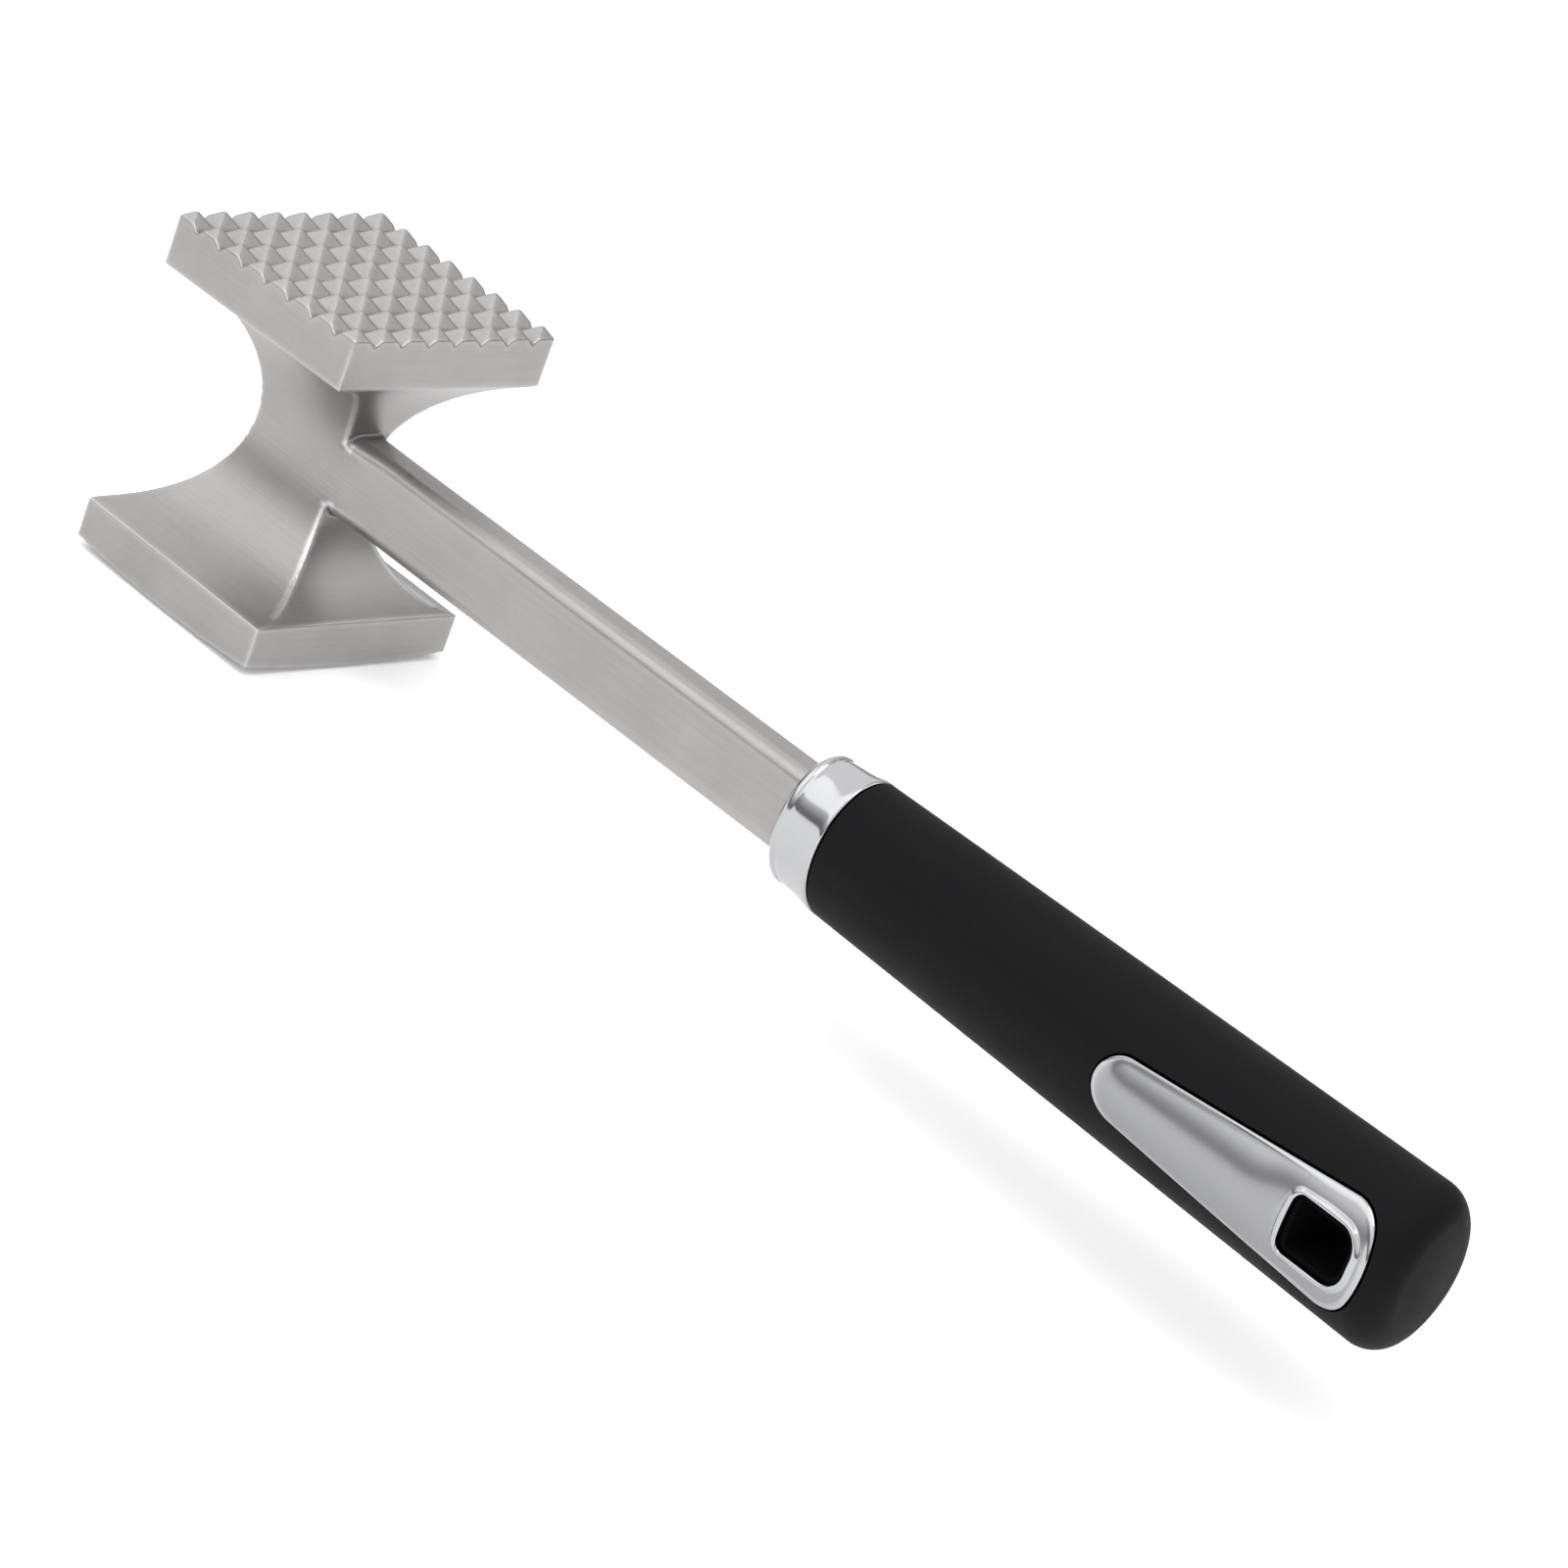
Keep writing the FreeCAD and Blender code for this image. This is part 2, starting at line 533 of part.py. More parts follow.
def makeCore():
    """The rigid core: a shoulder behind the ferrule, a nose inside it and a slot for the tang."""
    front = "$ferruleFront + $ferruleWeb"
    back = "$ferruleFront + $ferruleLength"
    main = boolean("Common", "CoreMain", handleLoft("CoreLoft", "-$sleeveWall - $bondGap"),
                   slab("CoreSpan", gripFront, "$handleEnd - 2 * $sleeveWall"))
    shoulder = loft("CoreShoulder", [(back, "$gripFrontHeight - 2 * ($sleeveWall + $bondGap)",
                                      "$gripFrontWidth - 2 * ($sleeveWall + $bondGap)"),
                                     (gripFront, "$gripFrontHeight - 2 * ($sleeveWall + $bondGap)",
                                      "$gripFrontWidth - 2 * ($sleeveWall + $bondGap)")])
    nose = loft("CoreNose", [(front, "$noseHeight - 2 * $bondGap", "$noseWidth - 2 * $bondGap"),
                             (back, "$noseHeight - 2 * $bondGap", "$noseWidth - 2 * $bondGap")])
    solid = boolean("Fuse", "CoreSolid", boolean("Fuse", "CoreFront", nose, shoulder), main)
    slot = doc.addObject("Part::Box", "TangSlot")
    bind(slot, "Length", "($tangLength + $tangClear) * 1 mm")
    bind(slot, "Width", "($tangWidth + 2 * $tangClear) * 1 mm")
    bind(slot, "Height", "($tangHeight + 2 * $tangClear) * 1 mm")
    bind(slot, "Placement.Base.x", "(%s) * 1 mm" % front)
    bind(slot, "Placement.Base.y", "-($tangWidth / 2 + $tangClear) * 1 mm")
    bind(slot, "Placement.Base.z", "($axisHeight - $tangHeight / 2 - $tangClear) * 1 mm")
    slotted = boolean("Cut", "CoreSlotted", solid, slot)
    collar = boolean("Common", "EyeCollar", eyePrism("CollarBlank", ("eyeCollar",)),
                     handleLoft("CollarLoft", "-$collarSink"))
    return boolean("Cut", "handle_core", boolean("Fuse", "CoreCollared", slotted, collar), eyePrism("CoreEye"))


def makeSleeve(outside):
    """The soft sleeve round the core, open where the two eye plates sit."""
    cavity = boolean("Common", "SleeveCavity", handleLoft("CavityLoft", "-$sleeveWall"),
                     slab("CavitySpan", gripFront + " - 1", "$handleEnd - 2 * $sleeveWall + $bondGap"))
    shell = boolean("Cut", "SleeveShell", outside, cavity)
    return boolean("Cut", "grip_sleeve", shell,
                   platePrism("PlateOpening", "plateGroove", "$faceSide / 2", "$faceSide / 2"))


def makeEyePlate(label, sign):
    """A plated eye plate on one side: it sits on the core and stands a little out of the grip."""
    reach = ("$faceSide / 2", "0") if sign > 0 else ("0", "$faceSide / 2")
    blank = platePrism(label + "_blank", "", *reach)
    formed = boolean("Common", label + "_formed", blank, handleLoft(label + "_loft", "$plateProud"))
    hollow = boolean("Cut", label + "_hollow", formed, handleLoft(label + "_seat", "-$sleeveWall"))
    return boolean("Cut", label, hollow, eyePrism(label + "_eye", ("eyeCollar", "bondGap")))


head = makeHead()
ferrule = makeFerrule()
core = makeCore()
sleeve = makeSleeve(makeOuter())
frontPlate = makeEyePlate("front_eye_plate", -1)
rearPlate = makeEyePlate("rear_eye_plate", 1)
doc.recompute()

# ---- checks, then one file for each piece ----
pieces = [head, ferrule, core, sleeve, frontPlate, rearPlate]
for thing in doc.Objects:
    if "Invalid" in thing.State or "Error" in thing.State:
        raise RuntimeError("%s failed: %s" % (thing.Name, thing.State))
for piece in pieces:
    if piece.Shape.isNull() or not piece.Shape.isValid() or len(piece.Shape.Solids) != 1:
        raise RuntimeError("%s has a bad shape" % piece.Label)

os.makedirs("parts", exist_ok=True)
for piece in pieces:
    piece.Shape.exportStep("parts/%s.step" % piece.Label)
    box = piece.Shape.optimalBoundingBox(False)
    print("%-16s %9.1f mm3  x %.1f..%.1f  y %.1f..%.1f  z %.1f..%.1f" % (
        piece.Label, piece.Shape.Volume, box.XMin, box.XMax, box.YMin, box.YMax, box.ZMin, box.ZMax))
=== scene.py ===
import bmesh
import bpy
import math
import numpy as np
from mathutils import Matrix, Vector


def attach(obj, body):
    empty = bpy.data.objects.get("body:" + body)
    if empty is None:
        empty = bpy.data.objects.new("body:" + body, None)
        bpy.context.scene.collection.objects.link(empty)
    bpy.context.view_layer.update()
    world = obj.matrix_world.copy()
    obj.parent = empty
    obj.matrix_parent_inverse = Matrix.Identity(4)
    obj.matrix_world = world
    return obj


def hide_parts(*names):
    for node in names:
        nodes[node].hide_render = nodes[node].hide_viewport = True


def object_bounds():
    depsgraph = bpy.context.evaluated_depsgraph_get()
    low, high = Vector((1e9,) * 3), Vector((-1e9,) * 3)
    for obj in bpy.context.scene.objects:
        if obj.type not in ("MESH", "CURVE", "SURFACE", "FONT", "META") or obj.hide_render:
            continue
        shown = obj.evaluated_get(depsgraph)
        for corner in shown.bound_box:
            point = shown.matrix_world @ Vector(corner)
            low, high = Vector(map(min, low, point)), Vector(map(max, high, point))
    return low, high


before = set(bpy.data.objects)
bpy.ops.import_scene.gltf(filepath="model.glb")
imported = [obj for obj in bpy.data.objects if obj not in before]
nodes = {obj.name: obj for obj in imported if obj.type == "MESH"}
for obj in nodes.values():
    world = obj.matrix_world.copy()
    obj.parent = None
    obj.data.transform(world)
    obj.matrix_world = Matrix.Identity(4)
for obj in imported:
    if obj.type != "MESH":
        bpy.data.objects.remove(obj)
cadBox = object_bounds()
toMetres = 0.001    # shapes are drawn in millimetres and made in metres
print("frame loaded:", len(nodes), "nodes")


def makeMesh(name, points, faces):
    mesh = bpy.data.meshes.new(name)
    mesh.from_pydata([tuple(point) for point in np.asarray(points) * toMetres], [], faces)
    mesh.validate()
    cleaner = bmesh.new()
    cleaner.from_mesh(mesh)
    bmesh.ops.recalc_face_normals(cleaner, faces=cleaner.faces)
    cleaner.to_mesh(mesh)
    cleaner.free()
    smoothFaces(mesh)
    thing = bpy.data.objects.new(name, mesh)
    bpy.context.scene.collection.objects.link(thing)
    return thing


def smoothFaces(mesh):
    mesh.polygons.foreach_set("use_smooth", [True] * len(mesh.polygons))


# Skins closed rings of points into a capped rod, or into a tube whose last ring meets its first.
def skinRings(rings, capped=True):
    rings = np.asarray(rings, float)
    count, around = rings.shape[:2]
    points = rings.reshape(-1, 3)
    faces = []
    for row in range(count - 1 if capped else count):
        start, after = row * around, (row + 1) % count * around
        for step in range(around):
            following = (step + 1) % around
            faces.append((start + step, start + following, after + following, after + step))
    if capped:
        faces.append(tuple(range(around - 1, -1, -1)))
        faces.append(tuple((count - 1) * around + step for step in range(around)))
    return points, faces


# A closed block over a grid: one side follows a height function, the other is flat.
def fieldBlock(xs, ys, height, flatZ):
    gridX, gridY = np.meshgrid(xs, ys, indexing="ij")
    top = np.stack([gridX, gridY, height(gridX, gridY)], -1)
    bottom = np.stack([gridX, gridY, np.full_like(gridX, flatZ)], -1)
    rows, columns = gridX.shape
    points = np.concatenate([top.reshape(-1, 3), bottom.reshape(-1, 3)])
    shift = rows * columns
    faces = []
    for row in range(rows - 1):
        for column in range(columns - 1):
            first = row * columns + column
            quad = (first, first + columns, first + columns + 1, first + 1)
            faces.append(quad)
            faces.append(tuple(index + shift for index in reversed(quad)))
    rim = list(range(columns))
    rim += [row * columns + columns - 1 for row in range(1, rows)]
    rim += [(rows - 1) * columns + column for column in range(columns - 2, -1, -1)]
    rim += [row * columns for row in range(rows - 2, 0, -1)]
    for step, first in enumerate(rim):
        second = rim[(step + 1) % len(rim)]
        faces.append((first, second, second + shift, first + shift))
    return points, faces


def joinParts(parts):
    points, faces, shift = [], [], 0
    for partPoints, partFaces in parts:
        points.append(np.asarray(partPoints))
        faces += [tuple(index + shift for index in face) for face in partFaces]
        shift += len(partPoints)
    return np.concatenate(points), faces


def bakeModifiers(thing):
    bpy.context.view_layer.update()
    evaluated = thing.evaluated_get(bpy.context.evaluated_depsgraph_get())
    mesh = bpy.data.meshes.new_from_object(evaluated)
    thing.modifiers.clear()
    thing.data = mesh
    smoothFaces(mesh)


# Stores on each point how far it stands out of the same surface when that is smoothed.
def markRidges(thing, passes, full, weight):
    mesh = thing.data
    count = len(mesh.vertices)
    points = np.zeros(count * 3)
    mesh.vertices.foreach_get("co", points)
    points = points.reshape(-1, 3)
    normals = np.zeros(count * 3)
    mesh.vertex_normals.foreach_get("vector", normals)
    ends = np.zeros(len(mesh.edges) * 2, int)
    mesh.edges.foreach_get("vertices", ends)
    first, second = ends.reshape(-1, 2).T
    links = np.bincount(first, minlength=count) + np.bincount(second, minlength=count)
    smooth = points.copy()
    for _ in range(passes):
        total = []
        for axis in range(3):
            fromSecond = np.bincount(first, smooth[second, axis], count)
            fromFirst = np.bincount(second, smooth[first, axis], count)
            total.append(fromSecond + fromFirst)
        smooth = np.stack(total, -1) / links[:, None]
    standing = np.einsum("ij,ij->i", points - smooth, normals.reshape(-1, 3)) / (full * toMetres)
    weighted = np.clip(standing * weight(points / toMetres), -1.0, 1.0)
    # This value drives the painted highlight on ridges and the painted shade in hollows.
    ridge = mesh.attributes.new("ridge", "FLOAT", "POINT")
    ridge.data.foreach_set("value", weighted.astype(np.float32))


def finishPiece(thing, material, replaced):
    thing.data.materials.clear()
    thing.data.materials.append(material)
    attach(thing, "root")
    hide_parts(*replaced)
    print("made", thing.name, len(thing.data.polygons), "faces")


# Helpers for node trees.
def newGroup(name, inputs, outputs):
    group = bpy.data.node_groups.new(name, "ShaderNodeTree")
    for label, kind, value in inputs:
        socket = group.interface.new_socket(label, in_out="INPUT", socket_type="NodeSocket" + kind)
        if value is not None:
            socket.default_value = value
    for label in outputs:
        group.interface.new_socket(label, in_out="OUTPUT", socket_type="NodeSocketFloat")
    return group, group.nodes.new("NodeGroupInput"), group.nodes.new("NodeGroupOutput")


def feed(tree, socket, value):
    if isinstance(value, bpy.types.NodeSocket):
        tree.links.new(value, socket)
    elif value is not None:
        socket.default_value = value


def addMath(tree, operation, first, second=None, clamp=False):
    node = tree.nodes.new("ShaderNodeMath")
    node.operation = operation
    node.use_clamp = clamp
    feed(tree, node.inputs[0], first)
    feed(tree, node.inputs[1], second)
    return node.outputs[0]


def addNoise(tree, vector, scale, detail, rough):
    noise = tree.nodes.new("ShaderNodeTexNoise")
    noise.inputs["Detail"].default_value = detail
    noise.inputs["Roughness"].default_value = rough
    feed(tree, noise.inputs["Vector"], vector)
    feed(tree, noise.inputs["Scale"], scale)
    return noise.outputs["Fac"]


def addRange(tree, factor, low, high, fromLow=0.0, fromHigh=1.0):
    node = tree.nodes.new("ShaderNodeMapRange")
    feed(tree, node.inputs["Value"], factor)
    for label, value in (("From Min", fromLow), ("From Max", fromHigh), ("To Min", low), ("To Max", high)):
        node.inputs[label].default_value = value
    return node.outputs["Result"]


# Noise lies mostly between these two values, so they are what gets stretched.
noiseLow, noiseHigh = 0.3, 0.7


def stretchNoise(tree, factor, low, high):
    return addRange(tree, factor, low, high, noiseLow, noiseHigh)


def addMix(tree, factor, first, second):
    node = tree.nodes.new("ShaderNodeMix")
    node.data_type = "RGBA"
    tree.links.new(factor, node.inputs["Factor"])
    for socket, value in ((node.inputs[6], first), (node.inputs[7], second)):
        feed(tree, socket, (*value, 1.0) if isinstance(value, tuple) else value)
    return node.outputs[2]


def addBump(tree, shader, height, strength, distance):
    bump = tree.nodes.new("ShaderNodeBump")
    bump.inputs["Strength"].default_value = strength
    bump.inputs["Distance"].default_value = distance
    tree.links.new(height, bump.inputs["Height"])
    tree.links.new(bump.outputs["Normal"], shader.inputs["Normal"])


def grey(level, tint=(1.0, 1.0, 1.0)):
    return tuple(level * share for share in tint)


# Effects that the materials share: a fine grain with a broad mottle, brushed lines, and edges with a
# painted highlight and some polish, with painted shade in the hollows.
def buildGrainGroup():
    inputs = [("Vector", "Vector", None), ("Grains per metre", "Float", 3000.0)]
    group, given, out = newGroup("fineGrain", inputs, ["Height", "Mottle"])
    grains = given.outputs["Grains per metre"]
    fine = addNoise(group, given.outputs["Vector"], grains, 4.0, 0.6)
    mottle = addNoise(group, given.outputs["Vector"], addMath(group, "MULTIPLY", grains, 0.02), 4.0, 0.55)
    group.links.new(fine, out.inputs["Height"])
    group.links.new(mottle, out.inputs["Mottle"])
    return group


def buildBrushGroup():
    inputs = [("Vector", "Vector", None), ("Lines per metre", "Vector", (60.0, 60.0, 2600.0))]
    group, given, out = newGroup("brushedLines", inputs, ["Height"])
    stretch = group.nodes.new("ShaderNodeVectorMath")
    stretch.operation = "MULTIPLY"
    group.links.new(given.outputs["Vector"], stretch.inputs[0])
    group.links.new(given.outputs["Lines per metre"], stretch.inputs[1])
    lines = addNoise(group, stretch.outputs[0], 1.0, 5.0, 0.65)
    group.links.new(lines, out.inputs["Height"])
    return group


# Makes the painted edge highlight and the edge polish patchy.
edgeWear = {"patches": 260.0, "least": 0.7, "most": 1.1}


def buildEdgeGroup():
    inputs = [("Vector", "Vector", None), ("Highlight and polish strength", "Float", 1.0)]
    group, given, out = newGroup("edgeHighlightPolishAndHollowShade", inputs, ["Edges", "Hollow shade"])
    ridge = group.nodes.new("ShaderNodeAttribute")
    ridge.attribute_name = "ridge"
    patches = addNoise(group, given.outputs["Vector"], edgeWear["patches"], 3.0, 0.6)
    uneven = addRange(group, patches, edgeWear["least"], edgeWear["most"])
    edgeAdjusted = addMath(group, "MULTIPLY", ridge.outputs["Fac"], given.outputs["Highlight and polish strength"])
    # Painted highlight on the edges, which also sets how polished they are.
    group.links.new(addMath(group, "MULTIPLY", edgeAdjusted, uneven, True), out.inputs["Edges"])
    # Painted shade in the hollows, where the surface sinks below its smoothed copy.
    group.links.new(addMath(group, "MULTIPLY", ridge.outputs["Fac"], -1.0, True), out.inputs["Hollow shade"])
    return group


effects = {"grain": buildGrainGroup(), "brush": buildBrushGroup(), "edges": buildEdgeGroup()}


def newMaterial(name):
    material = bpy.data.materials.new(name)
    material.use_nodes = True
    tree = material.node_tree
    coordinates = tree.nodes.new("ShaderNodeTexCoord")
    return material, tree, tree.nodes["Principled BSDF"], coordinates.outputs["Object"]


def useEffect(tree, name, vector, label, value):
    node = tree.nodes.new("ShaderNodeGroup")
    node.node_tree = effects[name]
    tree.links.new(vector, node.inputs["Vector"])
    node.inputs[label].default_value = value
    return node


def useGrain(tree, place, look):
    return useEffect(tree, "grain", place, "Grains per metre", look["grains"])


# The edge colour is a painted highlight on the ridges, and the hollow colour is painted shade in the
# hollows.
castAlloyLook = {"tint": (1.0, 0.972, 0.962), "dull": 0.307, "bright": 0.355, "edge": 0.88, "hollow": 0.24,
                 "highlightAndPolish": 0.6, "streak": 0.35, "roughLow": 0.30, "roughHigh": 0.37, "edgeRough": 0.28,
                 "metallic": 0.9, "grains": 3500.0, "alongLines": (45.0, 1600.0, 3600.0),
                 "sidewaysLines": (1600.0, 45.0, 3600.0), "bumpStrength": 0.45, "bumpDepth": 0.00005}


# Cast alloy brushed along the handle, and sideways on the faces that look along it.
def makeCastAlloy():
    look = castAlloyLook
    material, tree, shader, place = newMaterial("castAlloy")
    grain = useGrain(tree, place, look)
    along = useEffect(tree, "brush", place, "Lines per metre", look["alongLines"])
    sideways = useEffect(tree, "brush", place, "Lines per metre", look["sidewaysLines"])
    edges = useEffect(tree, "edges", place, "Highlight and polish strength", look["highlightAndPolish"])
    geometry = tree.nodes.new("ShaderNodeNewGeometry")
    facing = tree.nodes.new("ShaderNodeSeparateXYZ")
    tree.links.new(geometry.outputs["Normal"], facing.inputs[0])
    lines = tree.nodes.new("ShaderNodeMix")
    tree.links.new(addMath(tree, "ABSOLUTE", facing.outputs["X"]), lines.inputs["Factor"])
    tree.links.new(along.outputs["Height"], lines.inputs[2])
    tree.links.new(sideways.outputs["Height"], lines.inputs[3])
    streaks = addMath(tree, "MULTIPLY", stretchNoise(tree, lines.outputs[0], -1.0, 1.0), look["streak"])
    tone = addMath(tree, "ADD", stretchNoise(tree, grain.outputs["Mottle"], 0.0, 1.0), streaks, True)
    body = addMix(tree, tone, grey(look["dull"], look["tint"]), grey(look["bright"], look["tint"]))
    # Painted shade: the hollows are darkened towards the hollow colour.
    hollowShaded = addMix(tree, edges.outputs["Hollow shade"], body, grey(look["hollow"], look["tint"]))
    # Painted highlight: the ridges are lightened towards the edge colour.
    polished = addMix(tree, edges.outputs["Edges"], hollowShaded, grey(look["edge"]))
    tree.links.new(polished, shader.inputs["Base Color"])
    rough = stretchNoise(tree, grain.outputs["Mottle"], look["roughLow"], look["roughHigh"])
    smoother = addMath(tree, "MULTIPLY", edges.outputs["Edges"], look["edgeRough"] - look["roughHigh"])
    edgeAdjusted = addMath(tree, "ADD", rough, smoother)
    tree.links.new(addMath(tree, "MAXIMUM", edgeAdjusted, look["edgeRough"]), shader.inputs["Roughness"])
    shader.inputs["Metallic"].default_value = look["metallic"]
    relief = addMath(tree, "ADD", lines.outputs[0], grain.outputs["Height"])
    addBump(tree, shader, relief, look["bumpStrength"], look["bumpDepth"])
    return material


platingLook = {"tint": (0.985, 0.99, 1.02), "colour": 0.47, "mottled": 0.4465, "roughLow": 0.09,
               "roughHigh": 0.15, "grains": 2000.0, "bumpStrength": 0.03, "bumpDepth": 0.0001}


def makeBrightPlating():
    look = platingLook
    material, tree, shader, place = newMaterial("brightPlating")
    mottle = useGrain(tree, place, look).outputs["Mottle"]
    colour = addMix(tree, mottle, grey(look["mottled"], look["tint"]), grey(look["colour"], look["tint"]))
    tree.links.new(colour, shader.inputs["Base Color"])
    rough = stretchNoise(tree, mottle, look["roughLow"], look["roughHigh"])
    tree.links.new(rough, shader.inputs["Roughness"])
    shader.inputs["Metallic"].default_value = 1.0
    addBump(tree, shader, mottle, look["bumpStrength"], look["bumpDepth"])
    return material


satinLook = {"tint": (0.985, 0.99, 1.02), "satin": 0.315, "polished": 0.45, "satinRough": 0.26,
             "polishedRough": 0.10, "grains": 4000.0, "bumpStrength": 0.08, "bumpDepth": 0.00002}


# Satin in the middle of a plate, and bright where the piece's polish attribute is high.
def makeSatinPlating():
    look = satinLook
    material, tree, shader, place = newMaterial("satinPlating")
    grain = useGrain(tree, place, look)
    polish = tree.nodes.new("ShaderNodeAttribute")
    polish.attribute_name = "polish"
    shine = polish.outputs["Fac"]
    colour = addMix(tree, shine, grey(look["satin"], look["tint"]), grey(look["polished"], look["tint"]))
    tree.links.new(colour, shader.inputs["Base Color"])
    rough = addRange(tree, shine, look["satinRough"], look["polishedRough"])
    tree.links.new(rough, shader.inputs["Roughness"])
    shader.inputs["Metallic"].default_value = 1.0
    addBump(tree, shader, grain.outputs["Height"], look["bumpStrength"], look["bumpDepth"])
    return material


gripLook = {"dark": (0.0034, 0.0034, 0.0041), "light": (0.0052, 0.0052, 0.0062), "roughLow": 0.54,
            "roughHigh": 0.66, "specular": 0.10, "sheen": 0.01, "sheenRough": 0.4, "grains": 4200.0,
            "bumpStrength": 0.35, "bumpDepth": 0.00004}


def makeSoftGrip():
    look = gripLook
    material, tree, shader, place = newMaterial("softGrip")
    grain = useGrain(tree, place, look)
    mottle = grain.outputs["Mottle"]
    tree.links.new(addMix(tree, mottle, look["dark"], look["light"]), shader.inputs["Base Color"])
    rough = stretchNoise(tree, mottle, look["roughLow"], look["roughHigh"])
    tree.links.new(rough, shader.inputs["Roughness"])
    shader.inputs["Specular IOR Level"].default_value = look["specular"]
    shader.inputs["Sheen Weight"].default_value = look["sheen"]
    shader.inputs["Sheen Roughness"].default_value = look["sheenRough"]
    addBump(tree, shader, grain.outputs["Height"], look["bumpStrength"], look["bumpDepth"])
    return material


coreLook = {"dark": (0.0025, 0.0025, 0.003), "light": (0.004, 0.004, 0.0045), "roughLow": 0.75,
            "roughHigh": 0.9, "specular": 0.03, "grains": 5000.0, "bumpStrength": 0.3, "bumpDepth": 0.00003}


def makeCorePlastic():
    look = coreLook
    material, tree, shader, place = newMaterial("corePlastic")
    grain = useGrain(tree, place, look)
    mottle = grain.outputs["Mottle"]
    tree.links.new(addMix(tree, mottle, look["dark"], look["light"]), shader.inputs["Base Color"])
    tree.links.new(addRange(tree, mottle, look["roughLow"], look["roughHigh"]), shader.inputs["Roughness"])
    shader.inputs["Specular IOR Level"].default_value = look["specular"]
    addBump(tree, shader, grain.outputs["Height"], look["bumpStrength"], look["bumpDepth"])
    return material


castAlloy = makeCastAlloy()
brightPlating = makeBrightPlating()
satinPlating = makeSatinPlating()
for nodeName, material in (("grip_sleeve", makeSoftGrip()), ("handle_core", makeCorePlastic())):
    nodes[nodeName].data.materials.clear()
    nodes[nodeName].data.materials.append(material)
print("materials made")


# The cast head and its shank are drawn as overlapping closed parts, fused by a voxel remesh and
# smoothed a little, which gives the soft edges of a casting.
head = {"side": 47.6, "height": 65.2, "axis": 31.8, "gap": 45.2, "waistLong": 22.0, "waistShort": 8.1,
        "blockBase": 3.0, "ringStep": 0.3, "crownFlat": 20.0, "crownRadius": 165.0, "crownTop": 5.0,
        "crownSteps": 60, "toothPitch": 6.25, "toothDepth": 2.7, "toothTip": 0.5, "toothBase": 6.0,
        "toothFloor": 0.5, "fieldStep": 0.25, "voxel": 0.3, "smoothPasses": 3, "smoothing": 0.5,
        "shankWidth": 8.0, "shankHeight": 15.1, "shankEnd": 131.0, "shoulderRadius": 2.43, "topWidth": 4.36,
        "rootRound": 1.3, "rootReach": 0.98, "rootStart": 11.6, "flowLength": 11.0, "buried": 4.0,
        "tuckFrom": 0.8, "tuckSlope": 0.12, "rootStep": 0.25, "shankStations": 60, "sideSteps": 8,
        "arcSteps": 12, "topSteps": 4, "ridgePasses": 8, "ridgeFull": 0.22, "waistHighlightShadeAndPolish": 2.8,
        "toothHighlightShadeAndPolish": 0.3, "slabHighlightShadeAndPolish": 0.5, "slabMargin": 1.0, "aboveShank": 0.4, "pastRoot": 2.0,
        "toothMargin": 0.3}


# Half the head's width at a height: between the slabs, a hollow of one radius.
def waistHalf(narrow, z):
    offset = abs(z - head["axis"])
    reach = head["gap"] / 2
    if offset >= reach:
        return head["side"] / 2
    depth = (head["side"] - narrow) / 2
    radius = (reach ** 2 + depth ** 2) / (2 * depth)
    return narrow / 2 + radius - math.sqrt(radius ** 2 - offset ** 2)


def headBlock():
    low = head["blockBase"]
    high = head["height"] - head["toothDepth"] - head["toothFloor"]
    rings = []
    for z in np.linspace(low, high, int((high - low) / head["ringStep"])):
        halfX, halfY = waistHalf(head["waistLong"], z), waistHalf(head["waistShort"], z)
        rings.append([(halfX, -halfY, z), (halfX, halfY, z), (-halfX, halfY, z), (-halfX, -halfY, z)])
    return skinRings(rings)


# The smooth face: flat in the middle, gently crowned around.
def crownHeight(x, y):
    run = np.maximum(np.hypot(x, y) - head["crownFlat"] / 2, 0.0)
    return head["crownRadius"] - np.sqrt(head["crownRadius"] ** 2 - run ** 2)


def toothHeight(x, y):
    pitch, tip = head["toothPitch"], head["toothTip"] / 2

    def drop(along):
        fromCentre = np.abs((along / pitch) % 1.0 - 0.5) * pitch
        return np.clip((fromCentre - tip) / (pitch / 2 - tip), 0.0, 1.0)

    return head["height"] - head["toothDepth"] * np.maximum(drop(x), drop(y))


